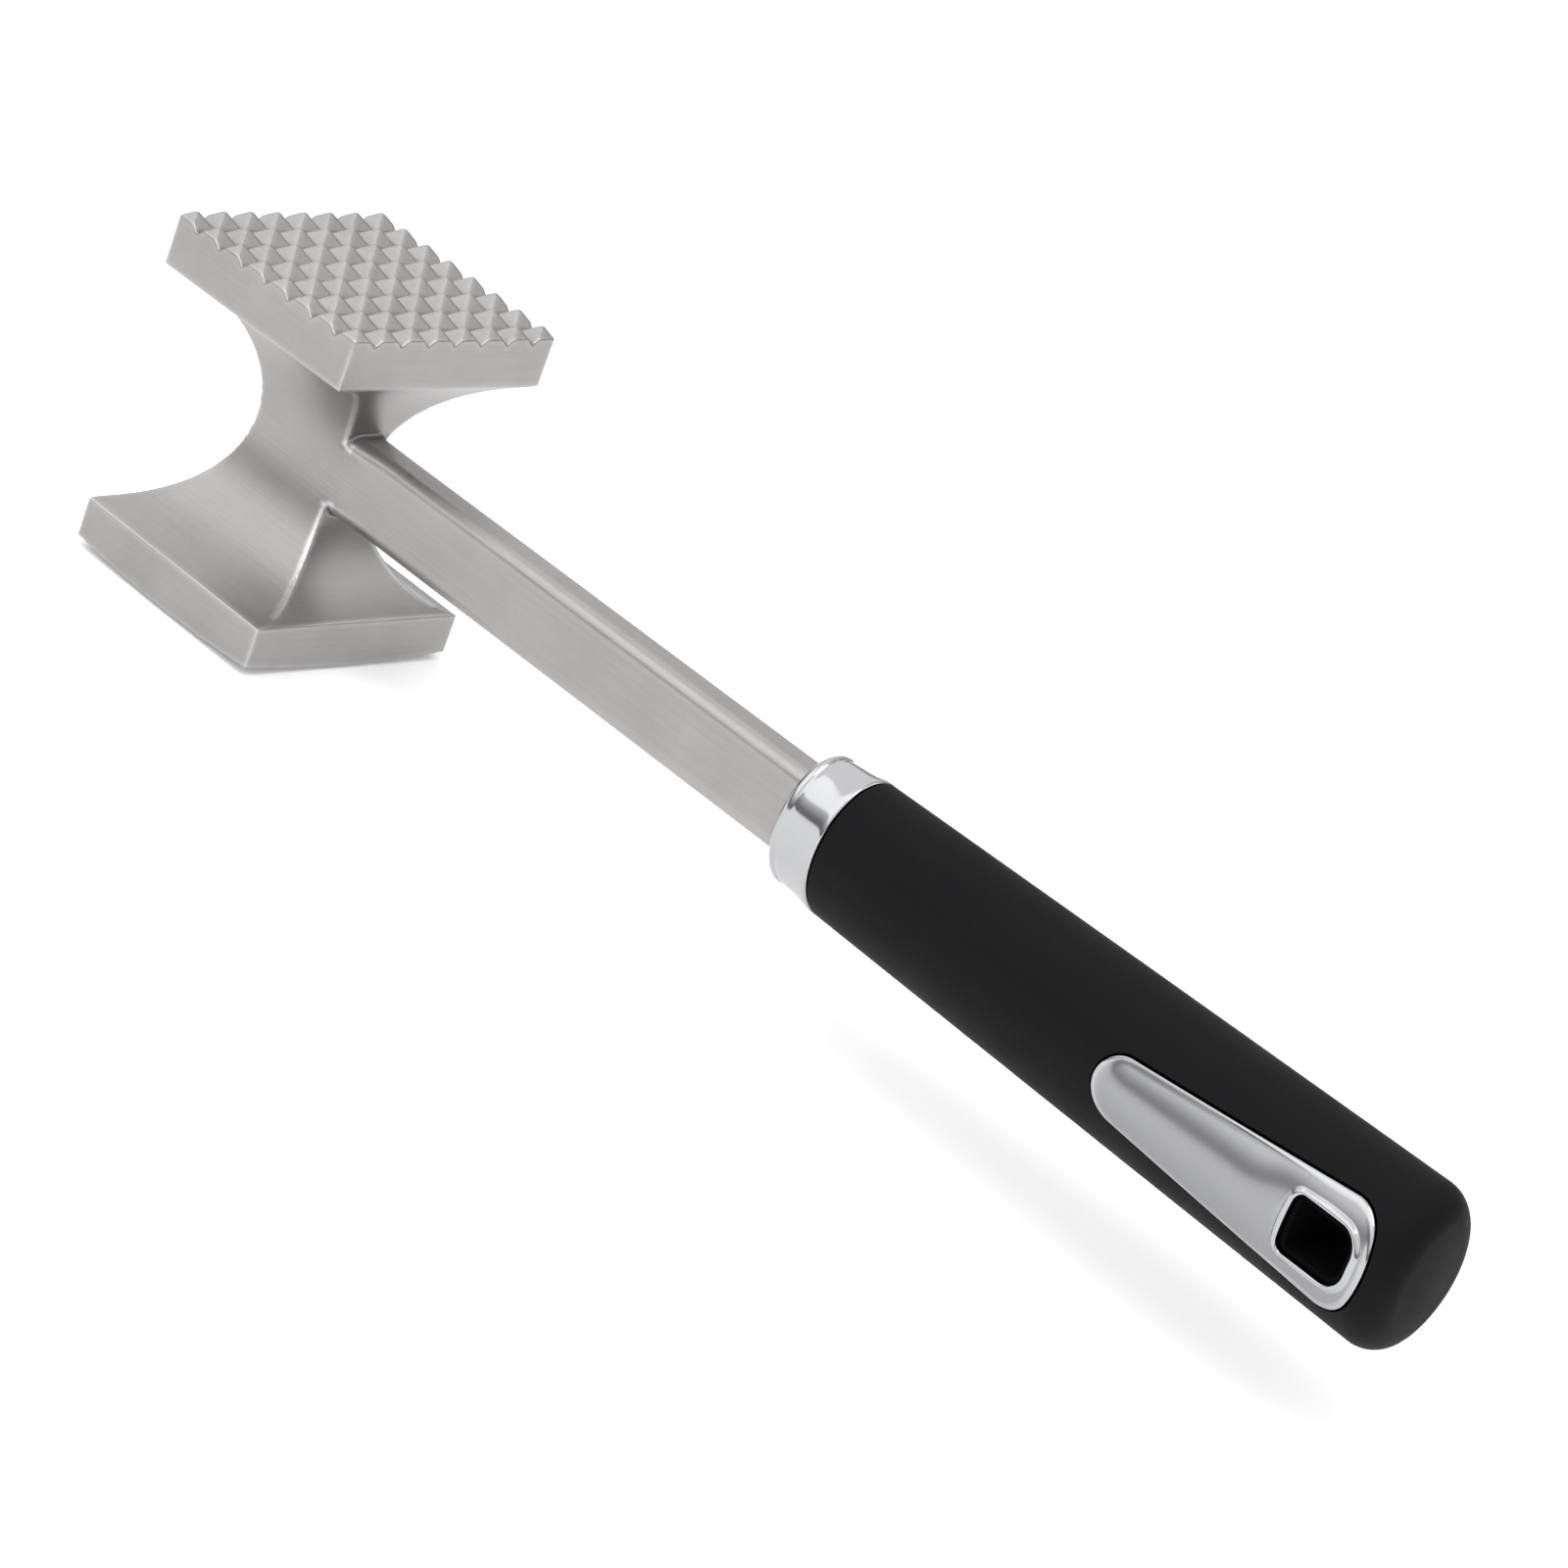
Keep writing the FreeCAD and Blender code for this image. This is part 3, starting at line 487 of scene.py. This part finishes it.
# The shank's outline at a place along it: flat sides that flow out of the waist, round shoulders
# that end in a crisp line, and a narrow flat top. Inside the waist the sides are tucked in.
def shankSection(x):
    halfY, halfZ = head["shankWidth"] / 2, head["shankHeight"] / 2
    radius, halfTop = head["shoulderRadius"], head["topWidth"] / 2
    sweep = math.acos(1 - (halfY - halfTop) / radius)
    low = halfZ - radius * math.sin(sweep)
    rootRound = head["rootRound"]
    short = min(max(head["rootStart"] + rootRound - x, 0.0), rootRound * head["rootReach"])
    lift = rootRound - math.sqrt(rootRound ** 2 - short ** 2)
    away = min(max((x - head["rootStart"]) / head["flowLength"], 0.0), 1.0)
    flow = 1 - away ** 2 * (3 - 2 * away)
    tuck = head["tuckSlope"] * max(head["rootStart"] - head["tuckFrom"] - x, 0.0)

    def side(z):
        flare = max(waistHalf(head["waistShort"], head["axis"] + z) - halfY, 0.0)
        return halfY + flare * flow - tuck

    sideSteps, arcSteps, topSteps = head["sideSteps"], head["arcSteps"], head["topSteps"]
    quarter = [(side(low * step / sideSteps), low * step / sideSteps) for step in range(1, sideSteps)]
    spread = (side(low) - halfTop) / (halfY - halfTop)
    for step in range(arcSteps + 1):
        turn = sweep * step / arcSteps
        out = radius + lift * math.sin(turn) / math.sin(sweep)
        y = halfY - radius + out * math.cos(turn)
        quarter.append((halfTop + (y - halfTop) * spread, low + out * math.sin(turn)))
    topY, rise = quarter[-1]
    quarter += [(topY * (1 - step / topSteps), rise) for step in range(1, topSteps)]
    quarter.append((0.0, rise))
    right = quarter + [(-y, z) for y, z in reversed(quarter[:-1])]
    return [(side(0.0), 0.0)] + right + [(-side(0.0), 0.0)] + [(-y, -z) for y, z in right]


def shankBar():
    flowEnd = head["rootStart"] + head["flowLength"]
    root = np.arange(head["rootStart"] - head["buried"], flowEnd, head["rootStep"])
    stations = np.concatenate([root, np.linspace(flowEnd, head["shankEnd"], head["shankStations"])])
    return skinRings([[(x, y, head["axis"] + z) for y, z in shankSection(x)] for x in stations])


# Weights of the painted highlight on ridges, the edge polish and the painted shade in hollows: strongest on
# the waist around the shank on the +X side only, least on the teeth.
def ridgeWeight(points):
    high = np.abs(points[:, 2] - head["axis"])
    besideShank = high > head["shankHeight"] / 2 + head["aboveShank"]
    beforeShank = points[:, 0] < head["rootStart"] + head["pastRoot"]
    betweenSlabs = high < head["gap"] / 2 - head["slabMargin"]
    waist = betweenSlabs & (besideShank | beforeShank) & (points[:, 0] > 0.0)
    teeth = points[:, 2] > head["height"] - head["toothDepth"] - head["toothMargin"]
    others = np.where(teeth, head["toothHighlightShadeAndPolish"], head["slabHighlightShadeAndPolish"])
    return np.where(waist, head["waistHighlightShadeAndPolish"], others)


def makeHead():
    half = head["side"] / 2
    fine = np.linspace(-half, half, int(head["side"] / head["fieldStep"]) + 1)
    coarse = np.linspace(-half, half, head["crownSteps"])
    crown = fieldBlock(coarse, coarse, crownHeight, head["crownTop"])
    teeth = fieldBlock(fine, fine, toothHeight, head["height"] - head["toothBase"])
    piece = makeMesh("castHead", *joinParts([headBlock(), crown, teeth, shankBar()]))
    remesh = piece.modifiers.new("cast", "REMESH")
    remesh.mode = "VOXEL"
    remesh.voxel_size = head["voxel"] * toMetres
    smooth = piece.modifiers.new("polish", "SMOOTH")
    smooth.factor = head["smoothing"]
    smooth.iterations = head["smoothPasses"]
    bakeModifiers(piece)
    markRidges(piece, head["ridgePasses"], head["ridgeFull"], ridgeWeight)
    finishPiece(piece, castAlloy, ["mallet_head"])


makeHead()


# The ferrule is an oval ring. Each pair is a distance behind its front and a depth under its outside:
# the mouth round the shank, then after the rolled rim the waisted body, the back edge and the inside.
ferrule = {"front": 127.8, "length": 10.6, "frontHeight": 23.7, "frontWidth": 17.8, "backHeight": 25.1,
           "backWidth": 20.2, "rim": 1.6, "rimFrom": 0.05, "rimTo": 1.35, "rimSteps": 9, "around": 192,
           "mouth": [(1.6, 5.2), (0.25, 5.0), (0.0, 4.6), (0.0, 3.6), (0.0, 2.6)],
           "body": [(1.8, 0.08), (2.0, 0.22), (2.2, 0.33), (2.4, 0.33), (2.7, 0.28), (3.3, 0.26),
                    (4.6, 0.27), (6.2, 0.24), (7.6, 0.17), (8.8, 0.07), (9.5, 0.01), (9.9, 0.0)],
           "back": [(10.15, 0.02), (10.38, 0.09), (10.53, 0.22), (10.6, 0.45), (10.6, 2.3), (1.6, 2.3)]}


def makeFerrule():
    size = ferrule
    turns = np.linspace(size["rimFrom"], size["rimTo"], size["rimSteps"])
    rim = [(size["rim"] * (1 - math.cos(turn)), size["rim"] * (1 - math.sin(turn))) for turn in turns]
    around = np.linspace(0, 2 * math.pi, size["around"], endpoint=False)
    rings = []
    for run, depth in size["mouth"] + rim + size["body"] + size["back"]:
        share = run / size["length"]
        halfHeight = (size["frontHeight"] * (1 - share) + size["backHeight"] * share) / 2 - depth
        halfWidth = (size["frontWidth"] * (1 - share) + size["backWidth"] * share) / 2 - depth
        x = np.full(size["around"], size["front"] + run)
        z = head["axis"] + halfHeight * np.sin(around)
        rings.append(np.stack([x, halfWidth * np.cos(around), z], -1))
    piece = makeMesh("ferruleRing", *skinRings(rings, False))
    finishPiece(piece, brightPlating, ["ferrule"])


makeFerrule()


# An eye plate is a run of rings from its outline to the eye, laid on the handle's side. In each row of
# edgeRings and lipRings: distance from the outline or the eye, height over the plate, polish.
plate = {"noseX": 207.5, "noseRadius": 5.5, "cornerX": 250.7, "cornerRadius": 6.2, "height": 18.6,
         "endRadius": 15.0, "eyeX": 248.4, "eyeLength": 10.6, "eyeHeight": 8.0, "eyeSmall": 0.6,
         "eyeLarge": 2.8, "collar": 1.0, "proud": 0.25, "samples": 320, "eyeSamples": 1280,
         "domeRise": 0.75, "domeTilt": 0.06, "domeEnd": 241.5, "domeFade": 9.0, "domeMargin": 1.0,
         "noseRun": 4.0, "panelFrom": 0.04, "panelTo": 0.96, "panelRings": 26,
         "edgeRings": [(0.0, -1.2, 1.0), (0.0, -0.2, 1.0), (0.06, -0.07, 1.0), (0.18, 0.02, 1.0),
                       (0.4, 0.06, 1.0), (0.7, 0.05, 0.9), (1.1, 0.0, 0.3)],
         "lipRings": [(1.3, 0.0, 0.3), (1.15, 0.1, 1.0), (0.95, 0.28, 1.0), (0.75, 0.4, 1.0),
                      (0.5, 0.45, 1.0), (0.28, 0.4, 1.0), (0.1, 0.26, 1.0), (0.0, 0.05, 1.0),
                      (0.0, -1.5, 1.0)]}
handle = {"stations": (138.8, 186.0, 262.3), "heights": (24.9, 26.6, 29.2), "widths": (19.8, 21.2, 23.0),
          "steepest": 0.02}


# A size of the handle at a place along it, on the curve through its three stations.
def alongHandle(values, x):
    stations = handle["stations"]
    total = 0.0
    for index, value in enumerate(values):
        weight = 1.0
        for other, station in enumerate(stations):
            if other != index:
                weight = weight * (x - station) / (stations[index] - station)
        total = total + value * weight
    return total


# Distance from the middle plane out to the handle's side.
def handleSide(x, z, grow):
    halfWidth = alongHandle(handle["widths"], x) / 2 + grow
    halfHeight = alongHandle(handle["heights"], x) / 2 + grow
    return halfWidth * np.sqrt(np.maximum(1 - (z / halfHeight) ** 2, handle["steepest"]))


# Evenly spaced points on an outline of arcs and lines.
def sampleOutline(pieces, count, dense=200):
    points = []
    for kind, *values in pieces:
        if kind == "arc":
            centre, radius, start, end = values
            points += [(centre[0] + radius * math.cos(turn), centre[1] + radius * math.sin(turn))
                       for turn in np.linspace(start, end, dense, endpoint=False)]
        else:
            start, end = np.array(values[0]), np.array(values[1])
            points += [tuple(start * (1 - share) + end * share)
                       for share in np.linspace(0, 1, dense, endpoint=False)]
    closed = np.array(points + points[:1])
    runs = np.concatenate([[0.0], np.cumsum(np.hypot(*np.diff(closed, axis=0).T))])
    wanted = np.linspace(0, runs[-1], count, endpoint=False)
    return np.stack([np.interp(wanted, runs, closed[:, axis]) for axis in (0, 1)], -1)


# The teardrop: a small round nose, two larger corners and a slightly bowed end.
def plateOutline():
    rise = plate["height"] / 2 - plate["cornerRadius"]
    nose, corner = np.array([plate["noseX"], 0.0]), np.array([plate["cornerX"], rise])
    small, large, end = plate["noseRadius"], plate["cornerRadius"], plate["endRadius"]
    endCentre = (corner[0] - math.sqrt((end - large) ** 2 - rise ** 2), 0.0)
    span = corner - nose
    lean = math.atan2(span[1], span[0]) + math.acos((small - large) / np.hypot(*span))
    outward = math.atan2(rise, corner[0] - endCentre[0])
    leanWay = np.array([math.cos(lean), math.sin(lean)])
    noseTop, cornerTop = nose + small * leanWay, corner + large * leanWay
    flip = np.array([1, -1])
    pieces = [("arc", nose, small, lean, 2 * math.pi - lean),
              ("line", noseTop * flip, cornerTop * flip),
              ("arc", corner * flip, large, -lean, -outward),
              ("arc", endCentre, end, -outward, outward),
              ("arc", corner, large, outward, lean),
              ("line", cornerTop, noseTop)]
    return sampleOutline(pieces, plate["samples"])


# The eye: small corners towards the head, large ones towards the handle's end.
def eyeOutline(grow):
    halfLength, halfHeight = plate["eyeLength"] / 2 + grow, plate["eyeHeight"] / 2 + grow
    small, large = plate["eyeSmall"] + grow, plate["eyeLarge"] + grow
    middle, quarter = plate["eyeX"], math.pi / 2
    spots = [(-1, -1, small, math.pi), (1, -1, large, -quarter),
             (1, 1, large, 0.0), (-1, 1, small, quarter)]

    def spotOf(signX, signZ, radius):
        return middle + signX * (halfLength - radius), signZ * (halfHeight - radius)

    def pointAt(centre, radius, turn):
        return centre[0] + radius * math.cos(turn), centre[1] + radius * math.sin(turn)

    pieces = []
    for index, (signX, signZ, radius, start) in enumerate(spots):
        centre = spotOf(signX, signZ, radius)
        nextX, nextZ, nextRadius, nextStart = spots[(index + 1) % len(spots)]
        pieces.append(("arc", centre, radius, start, start + quarter))
        pieces.append(("line", pointAt(centre, radius, start + quarter),
                       pointAt(spotOf(nextX, nextZ, nextRadius), nextRadius, nextStart)))
    return sampleOutline(pieces, plate["eyeSamples"])


# The inner points that lie in the same directions from a centre as the outer ones.
def matchByAngle(outer, inner, centre):
    def turnOf(points):
        return np.unwrap(np.arctan2(points[:, 1], points[:, 0] - centre))

    outerTurn, innerTurn = turnOf(outer), turnOf(inner)
    shifted = innerTurn[0] + (outerTurn - innerTurn[0]) % (2 * math.pi)
    closed = np.vstack([inner, inner[:1]])
    turns = np.concatenate([innerTurn, [innerTurn[0] + 2 * math.pi]])
    return np.stack([np.interp(shifted, turns, closed[:, axis]) for axis in (0, 1)], -1)


# Height of the panel between border and lip: crowned across, and flat beside the eye.
def plateDome(points):
    x, z = points.T
    ends = (plate["noseRadius"], plate["height"] / 2)
    reach = np.interp(x, (plate["noseX"], plate["cornerX"]), ends) - plate["domeMargin"]
    across = np.clip(1 - (z / reach) ** 2, 0.0, 1.0)
    towardsEye = np.clip((plate["domeEnd"] - x) / plate["domeFade"], 0.0, 1.0)
    fade = towardsEye ** 2 * (3 - 2 * towardsEye)
    noseStart = plate["noseX"] - plate["noseRadius"] + plate["domeMargin"]
    nose = np.clip((x - noseStart) / plate["noseRun"], 0.0, 1.0)
    return (plate["domeRise"] - plate["domeTilt"] * z) * across * fade * np.sin(nose * math.pi / 2)


def makePlate(name, sign, node):
    outer = plateOutline()
    inner = matchByAngle(outer, eyeOutline(plate["collar"]), plate["eyeX"])
    gap = outer - inner
    direction = gap / np.hypot(gap[:, 0], gap[:, 1])[:, None]
    rings, polish = [], []

    def addRing(points, height, shine):
        side = handleSide(points[:, 0], points[:, 1], plate["proud"]) + height
        rings.append(np.stack([points[:, 0], sign * side, points[:, 1] + head["axis"]], -1))
        polish.append(np.full(len(points), shine))

    for run, height, shine in plate["edgeRings"]:
        addRing(outer - direction * run, height, shine)
    start = outer - direction * plate["edgeRings"][-1][0]
    stop = inner + direction * plate["lipRings"][0][0]
    for share in np.linspace(plate["panelFrom"], plate["panelTo"], plate["panelRings"]):
        points = start * (1 - share) + stop * share
        addRing(points, plateDome(points), 0.0)
    for run, height, shine in plate["lipRings"]:
        addRing(inner + direction * run, height, shine)
    piece = makeMesh(name, *skinRings(rings, False))
    shine = piece.data.attributes.new("polish", "FLOAT", "POINT")
    shine.data.foreach_set("value", np.concatenate(polish).astype(np.float32))
    finishPiece(piece, satinPlating, [node])


makePlate("frontPlate", -1, "front_eye_plate")
makePlate("rearPlate", 1, "rear_eye_plate")


# The floor glows a little, as a light table does. The sky is given as pairs of height and level, is
# dimmed towards one side, and the camera sees the backdrop level instead of it.
studio = {"floorSize": 14.0, "floorShade": 0.95, "floorGlow": 0.15, "floorRough": 0.9, "backdrop": 1.0,
          "sky": ((0.0, 0.20), (0.10, 0.32), (0.32, 1.1475), (1.0, 1.35)),
          "dimSide": (0.36, 0.71, 0.60), "dimFrom": 0.55, "dimFull": 0.92, "dimmed": 0.4,
          "cameraAt": (0.5694, -0.6168, 0.3524), "cameraTurn": (65.845, -19.577, 44.571),
          "lens": 118.13, "sensor": 36.0}
middle = (0.12, 0.0, 0.03)    # of the mallet
beside = (0.45, 0.4, 0.0)    # on the floor behind the handle
lights = {"keyLight": {"at": (-0.7, -1.15, 1.15), "towards": middle, "size": (1.9, 1.4), "power": 5.5},
          "topLight": {"at": (0.45, -0.35, 1.5), "towards": middle, "size": (0.8, 0.8), "power": 5.0},
          "fillLight": {"at": (0.8, 0.75, 0.95), "towards": beside, "size": (1.0, 1.0), "power": 3.4}}


def makeFloor():
    half = studio["floorSize"] / 2
    low = cadBox[0][2]
    corners = [(-half, -half, low), (half, -half, low), (half, half, low), (-half, half, low)]
    mesh = bpy.data.meshes.new("floor")
    mesh.from_pydata(corners, [], [(0, 1, 2, 3)])
    floor = bpy.data.objects.new("floor", mesh)
    bpy.context.scene.collection.objects.link(floor)
    material = bpy.data.materials.new("paleFloor")
    material.use_nodes = True
    shader = material.node_tree.nodes["Principled BSDF"]
    shader.inputs["Base Color"].default_value = (*grey(studio["floorShade"]), 1.0)
    shader.inputs["Roughness"].default_value = studio["floorRough"]
    shader.inputs["Specular IOR Level"].default_value = 0.0
    shader.inputs["Emission Color"].default_value = (1.0, 1.0, 1.0, 1.0)
    shader.inputs["Emission Strength"].default_value = studio["floorGlow"]
    mesh.materials.append(material)


def addLight(name, at, towards, size, power):
    light = bpy.data.lights.new(name, "AREA")
    light.shape = "RECTANGLE"
    light.size, light.size_y = size
    light.energy = power
    thing = bpy.data.objects.new(name, light)
    thing.location = at
    thing.rotation_euler = (Vector(towards) - Vector(at)).to_track_quat("-Z", "Y").to_euler()
    bpy.context.scene.collection.objects.link(thing)


def makeSky():
    world = bpy.data.worlds.new("studio")
    world.use_nodes = True
    tree = world.node_tree
    coordinates = tree.nodes.new("ShaderNodeTexCoord")
    split = tree.nodes.new("ShaderNodeSeparateXYZ")
    tree.links.new(coordinates.outputs["Generated"], split.inputs[0])
    ramp = tree.nodes.new("ShaderNodeValToRGB")
    tree.links.new(split.outputs["Z"], ramp.inputs["Fac"])
    stops = ramp.color_ramp.elements
    for stop, (height, level) in zip(stops, studio["sky"][:2]):
        stop.position = height
        stop.color = (*grey(level), 1.0)
    for height, level in studio["sky"][2:]:
        stops.new(height).color = (*grey(level), 1.0)
    towards = tree.nodes.new("ShaderNodeVectorMath")
    towards.operation = "DOT_PRODUCT"
    towards.inputs[1].default_value = studio["dimSide"]
    tree.links.new(coordinates.outputs["Generated"], towards.inputs[0])
    dimFrom, dimFull = studio["dimFrom"], studio["dimFull"]
    shade = addRange(tree, towards.outputs["Value"], 1.0, studio["dimmed"], dimFrom, dimFull)
    light = tree.nodes.new("ShaderNodeVectorMath")
    light.operation = "SCALE"
    tree.links.new(ramp.outputs["Color"], light.inputs[0])
    tree.links.new(shade, light.inputs["Scale"])
    path = tree.nodes.new("ShaderNodeLightPath")
    seen = addMix(tree, path.outputs["Is Camera Ray"], light.outputs[0], grey(studio["backdrop"]))
    tree.links.new(seen, tree.nodes["Background"].inputs["Color"])
    bpy.context.scene.world = world


def makeCamera():
    scene = bpy.context.scene
    camera = bpy.data.objects.new("camera", bpy.data.cameras.new("camera"))
    camera.location = studio["cameraAt"]
    camera.rotation_euler = [math.radians(turn) for turn in studio["cameraTurn"]]
    camera.data.lens = studio["lens"]
    camera.data.sensor_width = studio["sensor"]
    scene.collection.objects.link(camera)
    scene.camera = camera
    scene.view_settings.view_transform = "Standard"


makeFloor()
makeSky()
for lightName, values in lights.items():
    addLight(lightName, **values)
makeCamera()
print("studio made")
